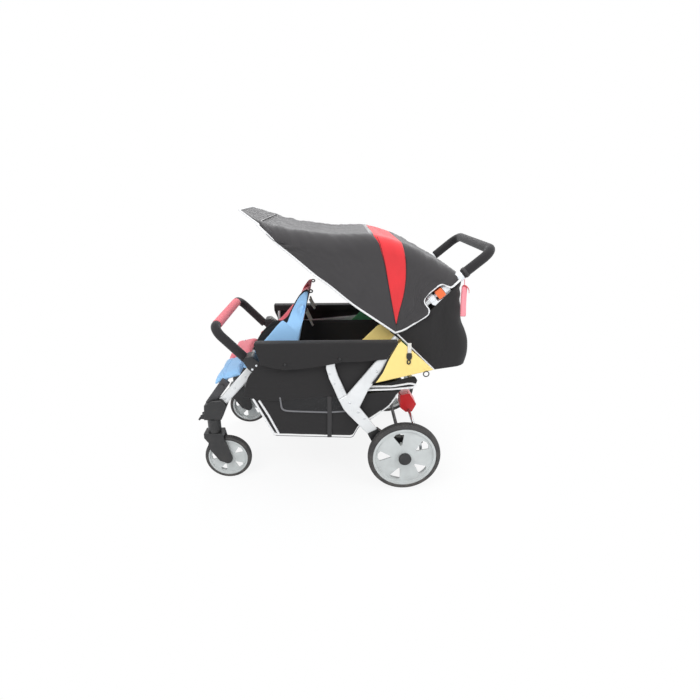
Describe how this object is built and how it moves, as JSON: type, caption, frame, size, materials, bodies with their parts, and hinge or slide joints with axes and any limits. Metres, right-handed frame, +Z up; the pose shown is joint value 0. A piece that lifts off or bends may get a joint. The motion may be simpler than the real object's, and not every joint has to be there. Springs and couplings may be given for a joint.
{
  "type": "multi seat daycare stroller",
  "caption": "Folding daycare stroller with two rows of bucket seats under one large canopy, swivelling front casters, braked rear wheels and a push handle.",
  "frame": {"origin": "bottom centre of the bounding box, on the floor", "axes": "+Z up; -X is the way the stroller rolls forward; -Y is the stroller's left side"},
  "size_m": [1.199, 0.768, 1.124],
  "materials": {
    "frame_silver": "satin silver-grey lacquer",
    "frame_dark": "dark grey lacquer",
    "metal_bright": "bright plated steel",
    "plastic_black": "moulded, fine grain",
    "plastic_white": "moulded, satin",
    "rim_grey": "moulded, satin light grey",
    "tyre_rubber": "ribbed rubber",
    "foam_black": "closed-cell foam",
    "foam_red": "closed-cell foam, coral red",
    "release_orange": "gloss moulding",
    "pedal_red": "gloss moulding",
    "cloth_black": "woven polyester with light piping",
    "cloth_grey": "woven polyester with light piping",
    "cloth_red": "woven polyester",
    "cloth_blue": "padded polyester",
    "cloth_yellow": "padded polyester",
    "cloth_green": "padded polyester",
    "webbing_pink": "flat webbing",
    "webbing_light": "flat webbing with black fittings"
  },
  "bodies": {
    "base": {"side_rails": "frame_silver", "front_legs": "frame_silver", "footrest_frame": "frame_dark", "caster_housings": "plastic_black", "bumper_brackets": "frame_silver", "bumper_bar": "frame_dark", "bumper_arm_foam": "foam_black", "bumper_grip": "foam_red", "armrest_rails": "frame_silver", "leg_stays": "frame_silver", "seat_tubes": "frame_silver", "pivot_pins": "metal_bright", "side_panel_left": "cloth_black", "side_panel_right": "cloth_black", "rear_side_left": "cloth_yellow", "rear_side_right": "cloth_green", "basket": "cloth_black", "front_seat_left": "cloth_blue", "front_seat_right": "cloth_red", "rear_seat_left": "cloth_yellow", "rear_seat_right": "cloth_green", "recline_straps": "webbing_light"},
    "front_back_l": {"front_back_left": "cloth_blue"},
    "front_back_r": {"front_back_right": "cloth_red"},
    "rear_back_l": {"rear_back_left": "cloth_yellow"},
    "rear_back_r": {"rear_back_right": "cloth_green"},
    "caster_l": {"caster_fork_left": "plastic_black"},
    "caster_r": {"caster_fork_right": "plastic_black"},
    "front_wheel_l": {"front_rim_left": "rim_grey", "front_tyre_left": "tyre_rubber"},
    "front_wheel_r": {"front_rim_right": "rim_grey", "front_tyre_right": "tyre_rubber"},
    "swivel_lever_l": {"swivel_lock_left": "plastic_black"},
    "swivel_lever_r": {"swivel_lock_right": "plastic_black"},
    "rear_frame": {"rear_legs": "frame_silver", "wheel_holders": "plastic_black", "rear_axle": "frame_dark", "axle_caps": "plastic_black"},
    "rear_wheel_l": {"rear_rim_left": "rim_grey", "rear_tyre_left": "tyre_rubber"},
    "rear_wheel_r": {"rear_rim_right": "rim_grey", "rear_tyre_right": "tyre_rubber"},
    "brake": {"brake_bar": "metal_bright", "brake_pedal": "pedal_red"},
    "pusher": {"pusher_tubes": "frame_silver", "lower_knuckles": "plastic_white", "canopy_hubs": "plastic_black", "canopy_wedge": "cloth_red", "canopy_rear": "cloth_grey", "rear_drop": "cloth_black"},
    "mid_bow": {"canopy_mid_bow": "frame_dark"},
    "front_bow": {"canopy_front_bow": "frame_dark", "canopy_front": "cloth_grey"},
    "handle": {"handle_tube": "frame_silver", "handle_foam": "foam_black", "upper_knuckles": "plastic_white", "canopy_clamps": "plastic_white", "wrist_strap": "webbing_pink"},
    "release_l": {"fold_release_left": "release_orange"},
    "release_r": {"fold_release_right": "release_orange"}
  },
  "joints": [
    {"name": "rear_leg_fold", "type": "hinge", "parent": "base", "child": "rear_frame", "pos_m": [0.17149, 0, 0.576], "axis": [0, -1, 0], "range_deg": [0, 63]},
    {"name": "pusher_fold", "type": "hinge", "parent": "base", "child": "pusher", "pos_m": [0.17149, 0, 0.576], "axis": [0, -1, 0], "range_deg": [0, 90], "deforming": ["canopy_front", "canopy_wedge", "canopy_rear", "rear_drop", "wrist_strap"]},
    {"name": "canopy_stow", "type": "hinge", "parent": "pusher", "child": "mid_bow", "pos_m": [0.20649, 0, 0.677], "axis": [0, -1, 0], "range_deg": [-45, 0], "deforming": ["canopy_front", "canopy_wedge", "canopy_rear"]},
    {"name": "canopy_fold", "type": "hinge", "parent": "mid_bow", "child": "front_bow", "pos_m": [0.20649, 0, 0.677], "axis": [0, 1, 0], "range_deg": [0, 38], "deforming": ["canopy_front", "canopy_wedge", "canopy_rear"]},
    {"name": "handle_fold", "type": "hinge", "parent": "pusher", "child": "handle", "pos_m": [0.39789, 0, 0.79434], "axis": [0, 1, 0], "range_deg": [0, 90], "deforming": ["canopy_rear", "wrist_strap"]},
    {"name": "release_slide_left", "type": "slide", "parent": "handle", "child": "release_l", "axis": [-0.7705, 0, -0.6374], "range_m": [0, 0.008], "stiffness_N_per_m": 600, "springref_m": -0.004},
    {"name": "release_slide_right", "type": "slide", "parent": "handle", "child": "release_r", "axis": [-0.7705, 0, -0.6374], "range_m": [0, 0.008], "stiffness_N_per_m": 600, "springref_m": -0.004},
    {"name": "brake_press", "type": "hinge", "parent": "rear_frame", "child": "brake", "pos_m": [0.32249, 0, 0.204], "axis": [0, 1, 0], "range_deg": [0, 7.5]},
    {"name": "rear_wheel_spin_left", "type": "hinge", "parent": "rear_frame", "child": "rear_wheel_l", "pos_m": [0.25749, -0.352, 0.152], "axis": [0, 1, 0], "continuous": true},
    {"name": "rear_wheel_spin_right", "type": "hinge", "parent": "rear_frame", "child": "rear_wheel_r", "pos_m": [0.25749, 0.352, 0.152], "axis": [0, 1, 0], "continuous": true},
    {"name": "caster_swivel_left", "type": "hinge", "parent": "base", "child": "caster_l", "pos_m": [-0.54151, -0.25, 0.225], "axis": [0, 0, 1], "continuous": true},
    {"name": "front_wheel_spin_left", "type": "hinge", "parent": "caster_l", "child": "front_wheel_l", "pos_m": [-0.49451, -0.25, 0.1], "axis": [0, 1, 0], "continuous": true},
    {"name": "swivel_lock_press_left", "type": "hinge", "parent": "base", "child": "swivel_lever_l", "pos_m": [-0.58451, -0.25, 0.3], "axis": [0, -1, 0], "range_deg": [0, 30]},
    {"name": "front_recline_left", "type": "hinge", "parent": "base", "child": "front_back_l", "pos_m": [-0.18651, -0.12, 0.468], "axis": [0, 1, 0], "range_deg": [0, 28]},
    {"name": "rear_recline_left", "type": "hinge", "parent": "base", "child": "rear_back_l", "pos_m": [0.12649, -0.12, 0.457], "axis": [0, -1, 0], "range_deg": [0, 48]},
    {"name": "caster_swivel_right", "type": "hinge", "parent": "base", "child": "caster_r", "pos_m": [-0.54151, 0.25, 0.225], "axis": [0, 0, 1], "continuous": true},
    {"name": "front_wheel_spin_right", "type": "hinge", "parent": "caster_r", "child": "front_wheel_r", "pos_m": [-0.49451, 0.25, 0.1], "axis": [0, 1, 0], "continuous": true},
    {"name": "swivel_lock_press_right", "type": "hinge", "parent": "base", "child": "swivel_lever_r", "pos_m": [-0.58451, 0.25, 0.3], "axis": [0, -1, 0], "range_deg": [0, 30]},
    {"name": "front_recline_right", "type": "hinge", "parent": "base", "child": "front_back_r", "pos_m": [-0.18651, 0.12, 0.468], "axis": [0, 1, 0], "range_deg": [0, 28]},
    {"name": "rear_recline_right", "type": "hinge", "parent": "base", "child": "rear_back_r", "pos_m": [0.12649, 0.12, 0.457], "axis": [0, -1, 0], "range_deg": [0, 48]}
  ],
  "couplings": [
    {"joint": "rear_leg_fold", "follows": "pusher_fold", "ratio": 0.7},
    {"joint": "canopy_stow", "follows": "pusher_fold", "ratio": -0.5}
  ]
}
